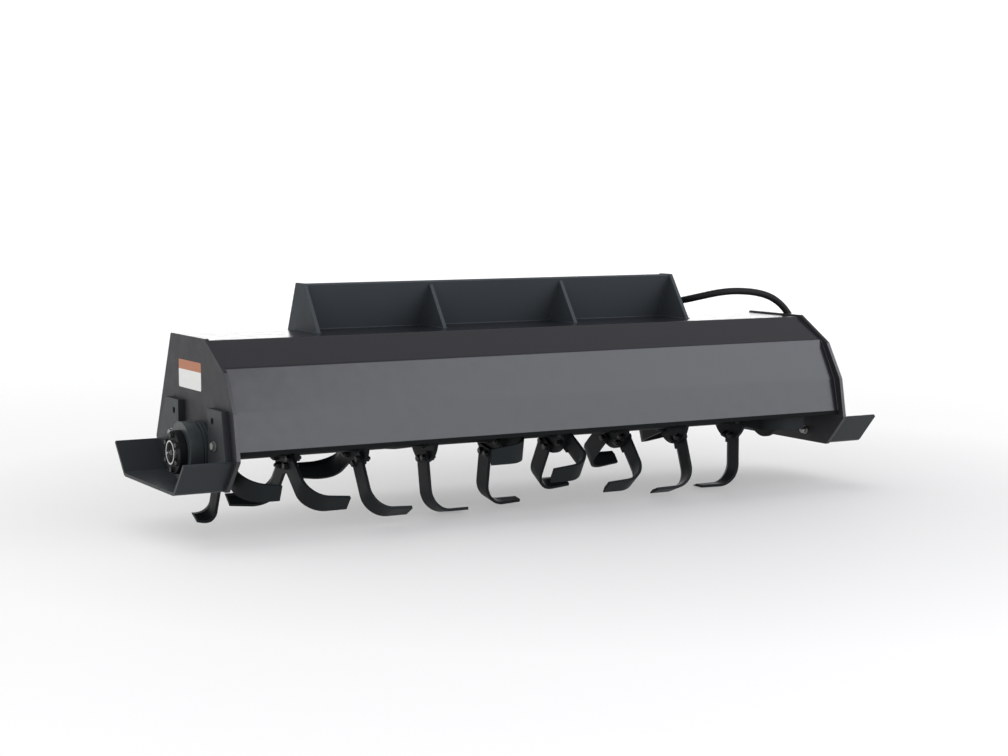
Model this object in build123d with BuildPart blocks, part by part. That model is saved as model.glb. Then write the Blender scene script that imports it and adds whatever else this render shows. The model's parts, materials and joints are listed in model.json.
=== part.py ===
from build123d import *
from math import atan2, cos, radians, sin, sqrt, tan
import os

# Rotary tiller attachment: a steel hood on two end plates, a bent-tine rotor, skids at both ends,
# a hydraulic motor and a sloping quick-attach mount.
# Millimetres, X across the machine, +Y towards the machine that carries it, +Z up.
# The origin is the centre of the mount plate's rear face.
# Section sizes are Y and Z from the top front corner of the end plates.

os.makedirs("parts", exist_ok=True)

# Hood and end plates
hood_width = 1830.0  # over the outer faces of the end plates
plate_thickness = 10.0
plate_behind_panel = 10.0  # rear edge of an end plate, behind the rear panels
brow_run, brow_drop = 125.0, 72.0  # upper slope of the front
face_run, face_drop = 60.0, 98.0  # middle panel of the front
chin_run, chin_drop = 20.0, 110.0  # lowest panel of the front
foot_run, foot_drop = 75.0, 82.0  # slanted lower corners of an end plate
skin_thickness = 6.0
skin_below_edge = 5.0  # plate edge stands proud of the top skin
skin_behind_top = 9.0  # and of the front skin, at each of its corners
skin_behind_brow, skin_above_brow = 25.0, 7.5
skin_behind_face = 24.0
skin_behind_chin, skin_above_chin = 24.0, 20.0
skin_bend = 12.0
lip_height, lip_thickness = 10.0, 6.0
plate_corner = 6.0

# Quick-attach mount
mount_tilt = 24.0  # plate leans forward at its top
mount_top_y, mount_top_z = 175.0, 115.0  # top edge of the plate's front face
mount_length = 460.0  # along the slope
mount_thickness = 10.0
mount_inner_width = 1134.0  # between the ears
hook_reach, hook_thickness, hook_angle = 54.0, 10.0, 45.0
ledge_reach, ledge_thickness = 62.0, 12.0
pin_slot_from_ear, pin_slot_length, pin_slot_width = 53.0, 60.0, 32.0
ear_thickness = 10.0
ear_behind = 38.0  # behind the plate's rear face
ear_top_length = 51.0
ear_foot_y = 88.0
gusset_spacing = 407.0
gusset_thickness = 10.0
gusset_foot_y = 95.0
gusset_below_top = 6.0

# Skids
skid_width = 124.0
skid_thickness = 8.0
skid_front, skid_rear = -112.0, 260.0  # flat sole
skid_bottom = -363.0
ramp_run, ramp_rise = 71.0, 78.0
skid_bend = 22.0
upright_thickness = 16.0
upright_width = 93.0
upright_gap = 208.0  # between the two uprights of a skid
upright_behind_axis = 8.0  # middle of that gap, behind the rotor axis
upright_top = -163.0
upright_hole = 17.0
upright_hole_upper = -192.0
upright_hole_lower = -251.0

# Rotor
axis_y, axis_z = 40.0, -279.0
tine_circle = 208.0  # radius over the tine tips
tube_radius, tube_bore = 30.0, 22.0
tube_end_gap = 8.0  # to the end plates
stub_radius = 21.8
stub_engagement = 90.0  # inside the tube
weld_gap = 0.2
flange_radius = 74.0
flange_thickness = 10.0
flange_count = 8
end_flange_inset_left, end_flange_inset_right = 37.0, 92.0  # from an end plate to the flange beside it
end_flange_gap = 123.5  # from the right-hand one to the next flange
tine_width, tine_thickness = 56.0, 8.0
tine_reach = 105.0  # sideways, from the middle of the flange
tine_bend = 62.0
end_tine_inwards, end_tine_outwards = 90.0, 32.0  # reach of the short tines at the left end
end_tine_bend = 34.0
last_tine_reach = 87.0  # at the right end
tine_root = 44.0
tine_tip_width = 42.0
tine_bevel, tine_edge = 15.0, 2.0  # ground along the leading edge, down to its land
bevel_clear = 12.0  # bevel starts this far outside the flange
first_tine_angle = -50.0  # right-hand tine of the leftmost helix flange, from straight down
helix_angle = 20.0  # from each flange to the next
end_tine_angle_left = -65.0
end_tine_angles_right = (90.0, -100.0)

# Bearing at the left end
running_gap = 0.3
plate_bore = 32.0
drum_radius, drum_length = 75.0, 52.0
groove_depth, groove_width = 4.0, 3.0
groove_places = (5.0, 15.0)
cap_radius, cap_length = 54.0, 20.0
nut_radius, nut_bore, nut_length = 30.0, 26.0, 7.0

# Hydraulic motor at the right end
motor_flange_width, motor_flange_height = 176.0, 140.0
motor_flange_thickness, motor_flange_corner = 16.0, 22.0
motor_radius, motor_length = 52.0, 58.0
seam_depth, seam_width, seam_place = 2.0, 2.0, 38.0  # joint between the motor's two housings
motor_cover_radius, motor_cover_length = 48.0, 24.0
shaft_depth = 14.0  # rotor stub inside the motor flange
port_size, port_height = 38.0, 18.0
port_offset = 22.0  # of each port from the rotor axis, front to rear
fitting_nut_radius, fitting_nut_length = 17.0, 14.0  # hexagon on the port
fitting_radius, fitting_length = 13.0, 34.0  # crimped sleeve above it, and both together
plug_radius, plug_length = 13.0, 12.0

# Hose and its parked coupler
hose_diameter = 20.0
first_run = 62.0  # straight up out of the fitting
coupler_radius, coupler_length = 16.0, 64.0
collar_radius, collar_length = 19.0, 20.0
bracket_thickness = 8.0
bracket_margin, bracket_height = 24.0, 60.0  # past the middle of the coupler

# Section points worked out from the sizes above
tilt = radians(mount_tilt)
inner_half = hood_width / 2 - plate_thickness
outer_half = hood_width / 2


def slope_point(along, behind):
    """Point at a distance down the mount plate's front face and behind it."""
    return (
        mount_top_y + along * sin(tilt) + behind * cos(tilt),
        mount_top_z - along * cos(tilt) + behind * sin(tilt),
    )


def slope_at(height, behind=0.0):
    """Point at a height on a plane behind the mount plate's front face."""
    along = (mount_top_z + behind * sin(tilt) - height) / cos(tilt)
    return slope_point(along, behind)


origin_y, origin_z = slope_point(mount_length / 2, mount_thickness)


def section(x):
    """Plane across the machine at x, with local X to the rear and local Y up."""
    return Plane(origin=(x, -origin_y, -origin_z), x_dir=(0, 1, 0), z_dir=(1, 0, 0))


def place(x, y, z):
    """Point of the machine from its section sizes."""
    return (x, y - origin_y, z - origin_z)


def turning(x, side):
    """Plane through the rotor axis, with local X outwards along it and local Y up."""
    return Plane(origin=place(x, axis_y, axis_z), x_dir=(side, 0, 0), z_dir=(0, -side, 0))


rotor_axis = Axis(place(0, axis_y, axis_z), (1, 0, 0))
skin_top = -skin_below_edge
brow_y, brow_z = -brow_run, -brow_drop
face_y, face_z = brow_y - face_run, brow_z - face_drop
chin_y, chin_z = face_y - chin_run, face_z - chin_drop
plate_bottom = chin_z - foot_drop
plate_rear = skin_thickness + plate_behind_panel


def write(builder, name):
    """Label a finished piece and write its STEP file."""
    builder.part.label = name
    export_step(builder.part, f"parts/{name}.step")


# End plates, with the rotor's bore and the skid bolt holes
upright_middle = axis_y + upright_behind_axis
upright_edges = (upright_middle + upright_gap / 2, upright_middle - upright_gap / 2)
upright_places = []
for edge, outwards in zip(upright_edges, (1, -1)):
    upright_places.append((edge + outwards * upright_width / 3, upright_hole_upper))
    upright_places.append((edge + outwards * upright_width / 2, upright_hole_lower))

for name, side in (("left", -1), ("right", 1)):
    with BuildPart() as end_plate:
        with BuildSketch(section(side * inner_half)) as outline:
            with BuildLine():
                Polyline(
                    slope_at(0, plate_rear),
                    (0, 0),
                    (brow_y, brow_z),
                    (face_y, face_z),
                    (chin_y, chin_z),
                    (chin_y + foot_run, plate_bottom),
                    (slope_at(chin_z, plate_rear)[0] - foot_run, plate_bottom),
                    slope_at(chin_z, plate_rear),
                    close=True,
                )
            make_face()
            fillet(outline.vertices(), plate_corner)
            with Locations((axis_y, axis_z)):
                Circle(plate_bore, mode=Mode.SUBTRACT)
            with Locations(*upright_places):
                Circle(upright_hole / 2, mode=Mode.SUBTRACT)
        extrude(amount=side * plate_thickness)
    write(end_plate, f"end_plate_{name}")

# Hood skin, one bent sheet from the mount plate to the chin
slope_plane = Plane(
    origin=place(0, *slope_point(0, 0)), x_dir=(1, 0, 0), z_dir=(0, cos(tilt), sin(tilt))
)
skin_face = (face_y + skin_behind_face, face_z)
skin_chin = (chin_y + skin_behind_chin, chin_z + skin_above_chin)
with BuildPart() as hood_skin:
    with BuildSketch(section(0)):
        with BuildLine():
            FilletPolyline(
                slope_at(skin_top, plate_rear),
                (skin_behind_top, skin_top),
                (brow_y + skin_behind_brow, brow_z + skin_above_brow),
                skin_face,
                skin_chin,
                radius=skin_bend,
            )
            offset(amount=skin_thickness, side=Side.LEFT)
        make_face()
    extrude(amount=inner_half, both=True)
    split(bisect_by=slope_plane, keep=Keep.BOTTOM)
write(hood_skin, "hood_skin")

# Stiffener along the skin's lower edge, in line with the chin panel
chin_panel = (Vector(*skin_chin) - Vector(*skin_face)).normalized()
with BuildPart() as front_lip:
    with BuildSketch(section(0)):
        with BuildLine():
            inwards = Vector(-chin_panel.Y, chin_panel.X) * lip_thickness
            downwards = chin_panel * lip_height
            corner = Vector(*skin_chin)
            Polyline(corner, corner + inwards, corner + inwards + downwards, corner + downwards, close=True)
        make_face()
    extrude(amount=inner_half, both=True)
write(front_lip, "front_lip")

# Rear panels beside the mount, in the plane of its plate
ear_outer = mount_inner_width / 2 + ear_thickness
for name, side in (("left", -1), ("right", 1)):
    with BuildPart() as rear_panel:
        with BuildSketch(section(side * ear_outer)):
            with BuildLine():
                Polyline(
                    slope_at(skin_top),
                    slope_at(skin_top, skin_thickness),
                    slope_at(chin_z, skin_thickness),
                    slope_at(chin_z),
                    close=True,
                )
            make_face()
        extrude(amount=side * (inner_half - ear_outer))
    write(rear_panel, f"rear_panel_{name}")

# Mount plate with its hook above and its slotted ledge below
hook_down, hook_back = cos(radians(hook_angle)), sin(radians(hook_angle))
with BuildPart() as mount_plate:
    with BuildSketch(section(0)):
        with BuildLine():
            Polyline(
                slope_point(0, 0),
                slope_point(mount_length, 0),
                slope_point(mount_length, mount_thickness + ledge_reach),
                slope_point(mount_length - ledge_thickness, mount_thickness + ledge_reach),
                slope_point(mount_length - ledge_thickness, mount_thickness),
                slope_point(hook_thickness / hook_back, mount_thickness),
                slope_point(
                    hook_reach * hook_down + hook_thickness * hook_back,
                    mount_thickness + hook_reach * hook_back - hook_thickness * hook_down,
                ),
                slope_point(hook_reach * hook_down, mount_thickness + hook_reach * hook_back),
                slope_point(0, mount_thickness),
                close=True,
            )
        make_face()
    extrude(amount=mount_inner_width / 2, both=True)
    ledge_plane = Plane(
        origin=place(0, *slope_point(mount_length, mount_thickness + ledge_reach / 2)),
        x_dir=(1, 0, 0),
        z_dir=(0, -sin(tilt), cos(tilt)),
    )
    with BuildSketch(ledge_plane):
        with GridLocations(mount_inner_width - 2 * pin_slot_from_ear, 1, 2, 1):
            RectangleRounded(pin_slot_length, pin_slot_width, pin_slot_width / 8)
    extrude(amount=ledge_thickness, mode=Mode.SUBTRACT)
write(mount_plate, "mount_plate")

# Ears that close the mount plate's ends and stand on the hood
for name, side in (("left", -1), ("right", 1)):
    with BuildPart() as ear:
        with BuildSketch(section(side * mount_inner_width / 2)) as outline:
            with BuildLine():
                ear_top = mount_top_z + mount_thickness * sin(tilt)
                rear_top = slope_at(ear_top, mount_thickness + ear_behind)
                Polyline(
                    (rear_top[0] - ear_top_length, ear_top),
                    rear_top,
                    slope_point(mount_length, mount_thickness + ear_behind),
                    slope_point(mount_length, 0),
                    slope_at(skin_top),
                    (ear_foot_y, skin_top),
                    close=True,
                )
            make_face()
        extrude(amount=side * ear_thickness)
    write(ear, f"mount_ear_{name}")

# Triangular gussets between the mount plate and the hood
for name, side in (("left", -1), ("right", 1)):
    with BuildPart() as gusset:
        with BuildSketch(section(side * (gusset_spacing - gusset_thickness) / 2)):
            with BuildLine():
                Polyline(
                    slope_point(gusset_below_top, 0),
                    slope_at(skin_top),
                    (gusset_foot_y, skin_top),
                    close=True,
                )
            make_face()
        extrude(amount=side * gusset_thickness)
    write(gusset, f"mount_gusset_{name}")

# Skid shoes, bent up at both ends, and the uprights that bolt them to the end plates
ramp_angle = atan2(ramp_rise, ramp_run)
sole_top = skid_bottom + skid_thickness
inside_shift = skid_thickness * tan(ramp_angle / 2)
upright_low = skid_bottom + ramp_rise
low_shift = (upright_low - sole_top) / tan(ramp_angle)
for name, side in (("left", -1), ("right", 1)):
    with BuildPart() as shoe:
        with BuildSketch(section(side * outer_half)):
            with BuildLine():
                FilletPolyline(
                    (skid_rear + ramp_run, skid_bottom + ramp_rise),
                    (skid_rear, skid_bottom),
                    (skid_front, skid_bottom),
                    (skid_front - ramp_run, skid_bottom + ramp_rise),
                    radius=skid_bend,
                )
                offset(amount=skid_thickness, side=Side.RIGHT)
            make_face()
        extrude(amount=side * skid_width)
    write(shoe, f"skid_shoe_{name}")

    with BuildPart() as uprights:
        with BuildSketch(section(side * outer_half)) as outline:
            for edge, corner, outwards in (
                (upright_edges[0], skid_rear, 1),
                (upright_edges[1], skid_front, -1),
            ):
                inner_corner = corner - outwards * inside_shift
                with BuildLine():
                    Polyline(
                        (edge, upright_top),
                        (edge + outwards * upright_width, upright_top),
                        (inner_corner + outwards * low_shift, upright_low),
                        (inner_corner + outwards * skid_bend / tan(ramp_angle), sole_top + skid_bend),
                        (inner_corner - outwards * skid_bend, sole_top),
                        (edge, sole_top),
                        close=True,
                    )
                make_face()
            with Locations(*upright_places):
                Circle(upright_hole / 2, mode=Mode.SUBTRACT)
        extrude(amount=side * upright_thickness)
    write(uprights, f"skid_uprights_{name}")

# Bearing housing, cap and nut at the left end, turned about the rotor axis
with BuildPart() as bearing_housing:
    with BuildSketch(turning(-outer_half, -1)):
        with Locations((0, stub_radius + running_gap)):
            Rectangle(
                drum_length, drum_radius - stub_radius - running_gap, align=(Align.MIN, Align.MIN)
            )
        for groove in groove_places:
            with Locations((groove, drum_radius)):
                Rectangle(
                    groove_width, groove_depth, align=(Align.MIN, Align.MAX), mode=Mode.SUBTRACT
                )
    revolve(axis=rotor_axis)
write(bearing_housing, "bearing_housing")

with BuildPart() as bearing_cap:
    with BuildSketch(turning(-outer_half - drum_length, -1)):
        Rectangle(cap_length, cap_radius, align=(Align.MIN, Align.MIN))
    revolve(axis=rotor_axis)
    chamfer(bearing_cap.faces().sort_by(Axis.X)[0].edges(), plate_corner / 3)
write(bearing_cap, "bearing_cap")

with BuildPart() as bearing_nut:
    with BuildSketch(turning(-outer_half - drum_length - cap_length, -1)):
        with Locations((0, nut_bore)):
            Rectangle(nut_length, nut_radius - nut_bore, align=(Align.MIN, Align.MIN))
    revolve(axis=rotor_axis)
write(bearing_nut, "bearing_nut")

# Hydraulic motor at the right end
with BuildPart() as motor_flange:
    with BuildSketch(Plane(origin=place(outer_half, axis_y, axis_z), x_dir=(0, 1, 0), z_dir=(1, 0, 0))):
        RectangleRounded(motor_flange_width, motor_flange_height, motor_flange_corner)
        Circle(stub_radius + running_gap, mode=Mode.SUBTRACT)
    extrude(amount=motor_flange_thickness)
write(motor_flange, "motor_flange")

motor_start = outer_half + motor_flange_thickness
port_x = motor_start + seam_place / 2
with BuildPart() as motor_body:
    with BuildSketch(turning(motor_start, 1)):
        Rectangle(motor_length, motor_radius, align=(Align.MIN, Align.MIN))
        with Locations((seam_place, motor_radius)):
            Rectangle(seam_width, seam_depth, align=(Align.MIN, Align.MAX), mode=Mode.SUBTRACT)
    revolve(axis=rotor_axis)
    with BuildSketch(Plane(origin=place(port_x, axis_y, axis_z))):
        with GridLocations(1, 2 * port_offset, 1, 2):
            Rectangle(port_size, port_size)
    extrude(amount=motor_radius + port_height)
write(motor_body, "motor_body")

with BuildPart() as motor_cover:
    with BuildSketch(turning(motor_start + motor_length, 1)):
        Rectangle(motor_cover_length, motor_cover_radius, align=(Align.MIN, Align.MIN))
    revolve(axis=rotor_axis)
    chamfer(motor_cover.faces().sort_by(Axis.X)[-1].edges(), plate_corner / 2)
write(motor_cover, "motor_cover")

port_z = axis_z + motor_radius + port_height
with BuildPart() as hose_fitting:
    with BuildSketch(Plane(origin=place(port_x, axis_y + port_offset, port_z))):
        Circle(fitting_radius)
    extrude(amount=fitting_length)
    with BuildSketch(Plane(origin=place(port_x, axis_y + port_offset, port_z))):
        RegularPolygon(fitting_nut_radius, 6)
    extrude(amount=fitting_nut_length)
write(hose_fitting, "hose_fitting")

with BuildPart() as port_plug:
    with BuildSketch(Plane(origin=place(port_x, axis_y - port_offset, port_z))):
        RegularPolygon(plug_radius, 6)
    extrude(amount=plug_length)
write(port_plug, "port_plug")

# Hose from the motor over the end plate to the coupler parked beside the right ear.
# Each point has its share of the way from the ear to the end plate, then Y and Z.
hose_span = outer_half - ear_outer
fitting_top = port_z + fitting_length
hose_route = [
    (1.112, 79.0, -54.0),
    (1.075, 89.0, -12.0),
    (0.998, 97.0, 24.0),
    (0.889, 103.0, 49.0),
    (0.751, 107.0, 62.0),
    (0.613, 109.0, 67.0),
    (0.476, 114.0, 68.0),
    (0.352, 126.0, 63.0),
    (0.254, 148.0, 54.0),
    (0.176, 182.0, 44.0),
    (0.126, 226.0, 34.0),
]
hose_points = [
    Vector(*place(port_x, axis_y + port_offset, fitting_top)),
    Vector(*place(port_x, axis_y + port_offset, fitting_top + first_run)),
]
for share, y, z in hose_route:
    hose_points.append(Vector(*place(ear_outer + share * hose_span, y, z)))
hose_radii = []
for before, corner, after in zip(hose_points, hose_points[1:], hose_points[2:]):
    run_in, run_out = corner - before, after - corner
    bend = radians(run_in.get_angle(run_out))
    hose_radii.append(0.45 * min(run_in.length, run_out.length) / tan(bend / 2))
print("hose bend radii", [round(radius) for radius in hose_radii])

with BuildPart() as hose:
    with BuildLine() as hose_path:
        FilletPolyline(*hose_points, radius=hose_radii)
    hose_wire = hose_path.wires()[0]
    with BuildSketch(Plane(origin=hose_wire @ 0, z_dir=hose_wire % 0)):
        Circle(hose_diameter / 2)
    sweep(path=hose_wire)
print("hose length", round(hose_wire.length), "volume", round(hose.part.volume))
write(hose, "hose")

coupler_plane = Plane(origin=hose_wire @ 1, x_dir=(0, 0, 1), z_dir=hose_wire % 1)
with BuildPart() as hose_coupler:
    with BuildSketch(coupler_plane):
        Circle(coupler_radius)
    extrude(amount=coupler_length)
    with BuildSketch(coupler_plane.offset(coupler_length - 1.5 * collar_length)):
        Circle(collar_radius)
    extrude(amount=collar_length)
write(hose_coupler, "hose_coupler")

# Holder for the coupler, welded to the outside of the right ear
coupler_x = (hose_wire @ 1).X
with BuildPart() as coupler_bracket:
    with BuildSketch(coupler_plane.offset(bracket_thickness)):
        Rectangle(bracket_height, 2 * coupler_x)
        Circle(coupler_radius + running_gap, mode=Mode.SUBTRACT)
    extrude(amount=bracket_thickness)
    split(bisect_by=Plane.YZ.offset(ear_outer), keep=Keep.TOP)
    split(bisect_by=Plane.YZ.offset(coupler_x + bracket_margin), keep=Keep.BOTTOM)
write(coupler_bracket, "coupler_bracket")

# Rotor tube and its stub shafts
tube_half = inner_half - tube_end_gap
with BuildPart() as rotor_tube:
    with BuildSketch(Plane(origin=place(-tube_half, axis_y, axis_z), x_dir=(0, 1, 0), z_dir=(1, 0, 0))):
        Circle(tube_radius)
        Circle(tube_bore, mode=Mode.SUBTRACT)
    extrude(amount=2 * tube_half)
write(rotor_tube, "rotor_tube")

for name, side, reach in (
    ("left", -1, drum_length - running_gap),
    ("right", 1, shaft_depth),
):
    with BuildPart() as stub:
        with BuildSketch(turning(side * (tube_half - stub_engagement), side)):
            Rectangle(
                stub_engagement + tube_end_gap + plate_thickness + reach,
                stub_radius,
                align=(Align.MIN, Align.MIN),
            )
        revolve(axis=rotor_axis)
    write(stub, f"rotor_stub_{name}")

blade_radius = sqrt(tine_circle**2 - (tine_width / 2) ** 2)
# A tine sits on the flange's far side, so that its blade passes below the flange
tine_face = -flange_thickness / 2 - tine_thickness
bevel_start = flange_radius + bevel_clear


def bent_tine(reach, bend):
    """One tine, pointing straight down from the rotor axis at the origin, bent towards +X."""
    with BuildPart() as tine:
        with BuildSketch(Plane(origin=(tine_face, 0, -tine_root), x_dir=(0, 1, 0), z_dir=(0, 0, -1))):
            Rectangle(tine_width, tine_thickness, align=(Align.CENTER, Align.MIN))
        extrude(amount=bevel_start - tine_root)
        with BuildLine() as tine_path:
            FilletPolyline(
                (tine_face, 0, -bevel_start),
                (tine_face, 0, -blade_radius),
                (reach, 0, -blade_radius),
                radius=bend,
            )
        with BuildSketch(Plane(origin=(tine_face, 0, -bevel_start), x_dir=(0, 1, 0), z_dir=(0, 0, -1))):
            with BuildLine():
                Polyline(
                    (-tine_width / 2, 0),
                    (tine_width / 2, 0),
                    (tine_width / 2, tine_edge),
                    (tine_width / 2 - tine_bevel, tine_thickness),
                    (-tine_width / 2, tine_thickness),
                    close=True,
                )
            make_face()
        sweep(path=tine_path.wires()[0])
        with BuildSketch(Plane.XY):
            with BuildLine():
                Polyline(
                    (2 * tine_face, -tine_width / 2),
                    (0, -tine_width / 2),
                    (reach, tine_width / 2 - tine_tip_width),
                    (reach, tine_width / 2),
                    (2 * tine_face, tine_width / 2),
                    close=True,
                )
            make_face()
        extrude(amount=-tine_circle, mode=Mode.INTERSECT)
    return tine.part


tines = {
    "right": bent_tine(tine_reach, tine_bend),
    "left": mirror(bent_tine(tine_reach, tine_bend), about=Plane.YZ),
    "inwards": bent_tine(end_tine_inwards, tine_bend),
    "outwards": mirror(bent_tine(end_tine_outwards, end_tine_bend), about=Plane.YZ),
    "last": bent_tine(last_tine_reach, tine_bend),
}


def tine_set(name, x, hands):
    """Flange at x with its tines; hands gives each tine's form and its angle from straight down."""
    with BuildPart() as flange:
        with BuildSketch(Plane.YZ.offset(-flange_thickness / 2)):
            Circle(flange_radius)
            Circle(tube_radius + weld_gap, mode=Mode.SUBTRACT)
        extrude(amount=flange_thickness)
        for hand, angle in hands:
            with Locations(Location((0, 0, 0), (angle, 0, 0))):
                add(tines[hand])
    flange.part.position = place(x, axis_y, axis_z)
    write(flange, name)


half_turn, quarter_turn = 180.0, 90.0
last_flange = inner_half - end_flange_inset_right
first_flange = end_flange_gap - last_flange
flange_pitch = -2 * first_flange / (flange_count - 1)


def hands_at(angle, leading, trailing):
    """Two tines of one form at an angle and opposite it, and two of another between them."""
    pair = [(leading, angle), (leading, angle + half_turn)]
    return pair + [(trailing, angle + quarter_turn), (trailing, angle - quarter_turn)]


left_end = end_flange_inset_left - inner_half
tine_set("tine_set_01", left_end, hands_at(end_tine_angle_left, "inwards", "outwards"))
for index in range(flange_count):
    hands = hands_at(first_tine_angle + index * helix_angle, "right", "left")
    tine_set(f"tine_set_{index + 2:02d}", first_flange + index * flange_pitch, hands)
right_pair = [("last", angle) for angle in end_tine_angles_right]
tine_set(f"tine_set_{flange_count + 2:02d}", last_flange, right_pair)
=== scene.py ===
"""Rotary tiller attachment: finishes, fasteners, welds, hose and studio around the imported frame."""

from __future__ import annotations

import json
import logging
import math
from abc import ABC, abstractmethod
from dataclasses import asdict, dataclass, fields
from enum import Enum
from typing import Any, Iterable, Sequence

import bmesh
import bpy
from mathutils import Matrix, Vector


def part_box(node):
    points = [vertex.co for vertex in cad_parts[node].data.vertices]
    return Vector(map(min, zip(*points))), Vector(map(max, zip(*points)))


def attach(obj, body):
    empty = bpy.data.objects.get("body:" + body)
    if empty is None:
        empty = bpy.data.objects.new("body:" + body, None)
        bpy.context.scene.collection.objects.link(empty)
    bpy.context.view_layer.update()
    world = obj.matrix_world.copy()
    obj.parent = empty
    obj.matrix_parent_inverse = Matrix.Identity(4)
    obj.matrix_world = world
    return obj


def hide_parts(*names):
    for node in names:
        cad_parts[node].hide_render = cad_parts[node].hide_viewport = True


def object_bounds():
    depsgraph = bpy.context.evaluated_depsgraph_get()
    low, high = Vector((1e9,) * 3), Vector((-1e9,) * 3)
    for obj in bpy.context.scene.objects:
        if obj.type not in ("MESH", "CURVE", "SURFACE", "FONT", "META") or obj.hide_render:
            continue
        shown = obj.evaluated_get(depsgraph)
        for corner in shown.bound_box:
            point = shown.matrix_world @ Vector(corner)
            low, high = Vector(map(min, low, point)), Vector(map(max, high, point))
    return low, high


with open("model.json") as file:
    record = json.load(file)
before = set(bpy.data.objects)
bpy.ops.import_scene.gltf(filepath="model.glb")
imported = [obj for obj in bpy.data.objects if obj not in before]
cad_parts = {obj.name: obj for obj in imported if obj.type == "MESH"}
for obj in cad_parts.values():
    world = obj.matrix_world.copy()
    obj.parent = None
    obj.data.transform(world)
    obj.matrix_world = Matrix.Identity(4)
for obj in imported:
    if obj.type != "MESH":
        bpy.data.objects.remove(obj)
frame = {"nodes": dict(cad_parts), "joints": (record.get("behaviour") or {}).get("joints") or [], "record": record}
CAD_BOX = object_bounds()
ROTOR_CENTRE = Vector(frame["joints"][0]["pos_m"])
ACROSS = Vector((1.0, 0.0, 0.0))
WHITE = (1.0, 1.0, 1.0, 1.0)
SAME_POINT = 1e-6  # metres within which the corners of a mesh are one

log = logging.getLogger("rotary_tiller")

Colour = tuple[float, float, float]
Place = tuple[float, float, float]
Span = tuple[float, float]
Socket = bpy.types.NodeSocket


class Body(Enum):
    """Bodies of the frame that pieces ride on."""

    FRAME = "frame"
    ROTOR = "rotor"


class Slot(Enum):
    """Material slots of the record."""

    HOOD = "hood_paint"
    LIP = "lip_paint"
    MOUNT = "mount_paint"
    SKID = "skid_paint"
    BEARING = "bearing_paint"
    RING = "ring_steel"
    MOTOR = "motor_iron"
    FITTING = "fitting_steel"
    BRACKET = "bracket_paint"
    HOSE = "hose_rubber"
    ROTOR = "rotor_paint"
    SHAFT = "shaft_steel"
    TINE = "tine_paint"


class Side(Enum):
    """Ends of the machine, with the sign of their X."""

    LEFT = -1
    RIGHT = 1


class Grain(Enum):
    """How much finer noise a pattern holds, in octaves."""

    PLAIN = 1.0
    SOFT = 2.0
    CLOUDY = 3.0
    MOTTLED = 4.0


class Section(Enum):
    """Cross-sections of a turned piece."""

    ROUND = 0
    HEXAGON = 1
    CRIMPED = 2
    RIBBED = 3


# Node trees


class NodeGraph:
    """Node tree with short calls for its nodes and links."""

    def __init__(self, tree: bpy.types.NodeTree) -> None:
        """Take a tree to fill."""
        self.tree = tree

    def feed(self, socket: Socket, value: Any) -> None:
        """Link a socket, or set its constant.

        Args:
            socket: input that takes the value.
            value: another socket or a plain value.
        """
        if isinstance(value, Socket):
            self.tree.links.new(value, socket)
        else:
            socket.default_value = value

    def node(self, kind: str, inputs: dict[Any, Any] | None = None, **settings: Any) -> bpy.types.Node:
        """Add a node and feed its inputs.

        Args:
            kind: type name of the node.
            inputs: sockets, constants or lists of sockets, by the input's name or number.
            settings: properties to set on it.

        Returns:
            The new node.
        """
        made = self.tree.nodes.new(kind)
        for key, value in settings.items():
            setattr(made, key, value)
        for key, value in (inputs or {}).items():
            for each in value if isinstance(value, list) else [value]:
                self.feed(made.inputs[key], each)
        return made

    def result(self, kind: str, inputs: dict[Any, Any] | None = None, **settings: Any) -> Socket:
        """Add a node and give its first output."""
        return self.node(kind, inputs, **settings).outputs[0]

    def math(self, operation: str, first: Any, second: Any = 0.0) -> Socket:
        """Work out one operation on two sockets or numbers."""
        return self.result("ShaderNodeMath", {0: first, 1: second}, operation=operation)

    def measure(self, operation: str, first: Any, second: Any) -> Socket:
        """Measure two vectors against each other, by their dot product or distance."""
        return self.node("ShaderNodeVectorMath", {0: first, 1: second}, operation=operation).outputs["Value"]

    def along(self, vector: Socket, axis: str) -> Socket:
        """One part of a vector, named X, Y or Z."""
        return self.node("ShaderNodeSeparateXYZ", {0: vector}).outputs[axis]

    def between(self, factor: Socket, results: Span, limits: Span = (0.25, 0.75),
                smooth: bool = False) -> Socket:
        """Map a value onto a range.

        Args:
            factor: value to map.
            results: results at the two limits, and beyond them.
            limits: values between which the result changes.
            smooth: whether the change eases in and out.

        Returns:
            The mapped value.
        """
        (low, high), (start, end) = results, limits
        inputs = {"Value": factor, "From Min": start, "From Max": end, "To Min": low, "To Max": high}
        change = "SMOOTHSTEP" if smooth else "LINEAR"
        return self.result("ShaderNodeMapRange", inputs, interpolation_type=change)


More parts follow.
